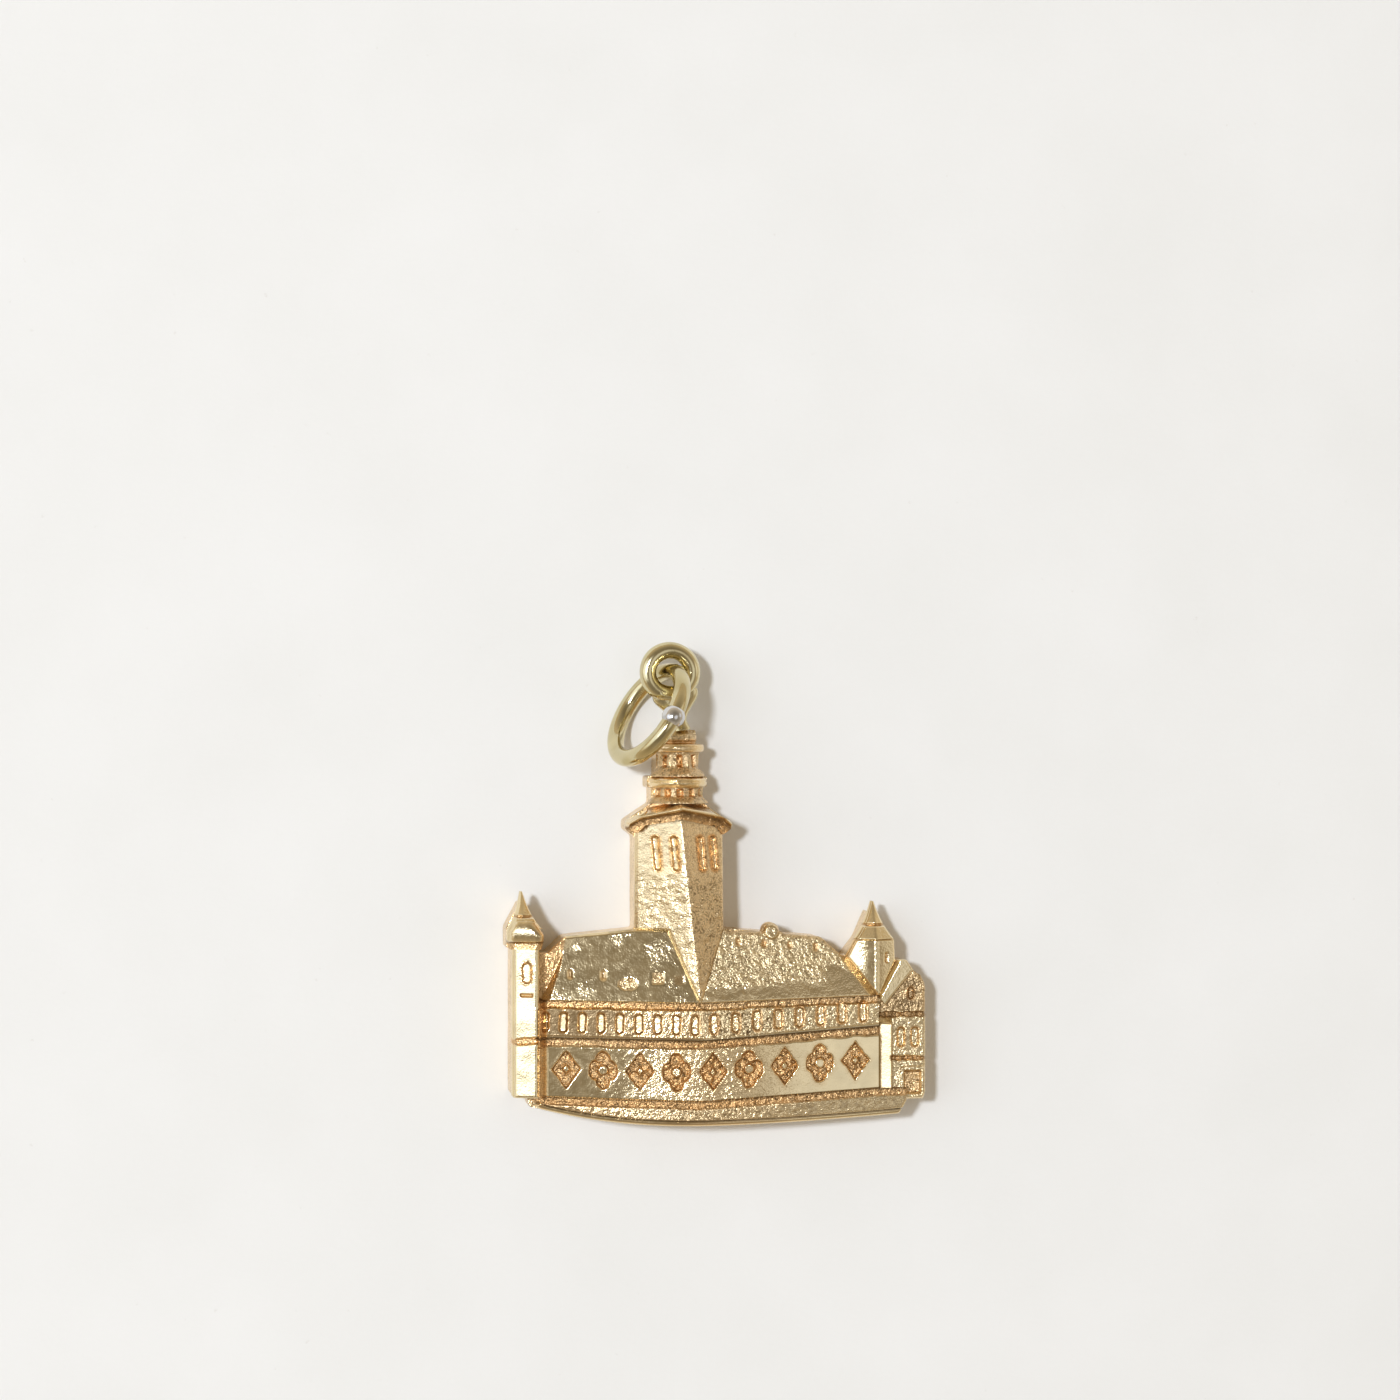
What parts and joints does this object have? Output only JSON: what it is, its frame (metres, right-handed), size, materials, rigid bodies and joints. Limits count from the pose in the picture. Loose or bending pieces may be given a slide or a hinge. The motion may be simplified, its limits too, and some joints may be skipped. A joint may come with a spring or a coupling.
{
  "type": "building charm pendant",
  "caption": "Small gold building-front charm with a tall tower, corner turrets and a folded two-wing front, hung from a round wire eye by a loose soldered jump ring.",
  "frame": {"origin": "centre of the charm's outline on its flat back, which lies on the ground", "axes": "+X along the building's front to its gabled bay, +Y up the tower to the eye, +Z out of the face"},
  "size_m": [0.021, 0.024, 0.0056],
  "materials": {
    "polished_gold": "polished yellow gold on the proud faces, worn a little by handling",
    "cast_gold": "matt granular cast gold with a rosy tint in its recesses",
    "pale_gold": "smooth pale greenish gold wire",
    "solder": "smooth silver-grey hard solder"
  },
  "bodies": {
    "charm": {"back_shell": "polished_gold", "base_plinth": "polished_gold", "lower_wall": "polished_gold", "arcade_storey": "cast_gold", "left_roof": "polished_gold", "right_roof": "cast_gold", "tower_shaft": "cast_gold", "tower_cornice": "polished_gold", "lantern_drum": "cast_gold", "lantern_gallery": "polished_gold", "lantern_upper": "cast_gold", "lantern_cap": "polished_gold", "left_tower": "polished_gold", "left_tower_cap": "polished_gold", "left_spire": "polished_gold", "right_turret": "polished_gold", "turret_roof": "polished_gold", "gabled_bay": "polished_gold", "gable_roof": "polished_gold", "hanging_eye": "pale_gold"},
    "ring": {"jump_ring": "pale_gold", "ring_solder": "solder"}
  },
  "joints": [
    {"name": "ring_swing", "type": "hinge", "parent": "charm", "child": "ring", "pos_m": [-0.00237, 0.01048, 0.0023], "axis": [0, 0, -1], "range_deg": [-10, 255]}
  ]
}
